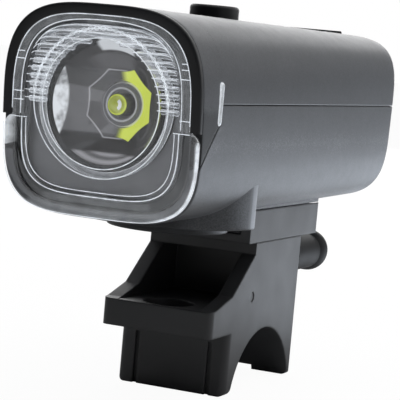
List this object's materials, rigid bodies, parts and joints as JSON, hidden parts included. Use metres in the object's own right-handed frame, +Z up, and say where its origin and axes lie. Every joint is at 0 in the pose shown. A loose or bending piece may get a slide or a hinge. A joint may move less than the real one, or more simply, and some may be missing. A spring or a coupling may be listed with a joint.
{
  "type": "bike headlight",
  "caption": "Battery bike headlight: rounded square grey body with ribbed clear lens and bezel, top button, port cover, and a slide-in handlebar bracket with a release lever.",
  "frame": {"origin": "handlebar axis at the middle of the bracket's width", "axes": "+X along the handlebar, -Y the way the beam leaves, +Z up"},
  "size_m": [0.0376, 0.1092, 0.0746],
  "materials": {
    "shell_grey": "satin, metallic grey",
    "bezel_black": "semi-gloss",
    "clear_lens": "clear, polished",
    "black_rubber": "matte",
    "seal_grey": "matte silicone",
    "baffle_grey": "satin",
    "reflector_metal": "mirror",
    "collar_grey": "satin",
    "led_yellow": "phosphor under a clear dome",
    "board_white": "white solder mask on metal core",
    "sink_aluminium": "as cast",
    "board_green": "solder mask",
    "switch_black": "matte",
    "steel": "plated",
    "cell_wrap": "shrink sleeve",
    "bracket_black": "satin, fine moulded grain",
    "button_black": "satin"
  },
  "bodies": {
    "bracket": {"bracket_base": "bracket_black", "rail_receiver": "bracket_black", "receiver_screws": "steel", "lever_pivot_pin": "steel", "lever_spring": "steel"},
    "light": {"upper_shell": "shell_grey", "lower_shell": "shell_grey", "front_bezel": "bezel_black", "front_lens": "clear_lens", "lens_seal": "seal_grey", "baffle_plate": "baffle_grey", "reflector": "reflector_metal", "led_collar": "collar_grey", "led_emitter": "led_yellow", "led_board": "board_white", "heat_sink": "sink_aluminium", "driver_board": "board_green", "tactile_switch": "switch_black", "usb_receptacle": "steel", "battery_cell": "cell_wrap", "battery_cradle": "bracket_black", "housing_screws": "steel", "side_window_right": "clear_lens", "side_window_left": "clear_lens", "button_seal": "black_rubber"},
    "button": {"power_button": "button_black"},
    "cover": {"port_cover": "black_rubber"},
    "lever": {"release_lever": "bracket_black"}
  },
  "joints": [
    {"name": "light_slide", "type": "slide", "parent": "bracket", "child": "light", "axis": [0, -1, 0], "range_m": [0, 0.036]},
    {"name": "button_press", "type": "slide", "parent": "light", "child": "button", "axis": [0, 0, -1], "range_m": [0, 0.0008], "stiffness_N_per_m": 1500, "springref_m": -0.0006},
    {"name": "cover_hinge", "type": "hinge", "parent": "light", "child": "cover", "pos_m": [0, 0.0428, 0.0761], "axis": [-1, 0, 0], "range_deg": [0, 100], "stiffness_Nm_per_rad": 0.003, "springref_deg": -8.59},
    {"name": "lever_press", "type": "hinge", "parent": "bracket", "child": "lever", "pos_m": [0, 0.004, 0.0279], "axis": [-1, 0, 0], "range_deg": [0, 5], "stiffness_Nm_per_rad": 1.6, "springref_deg": -2.29, "deforming": ["lever_spring"]}
  ]
}
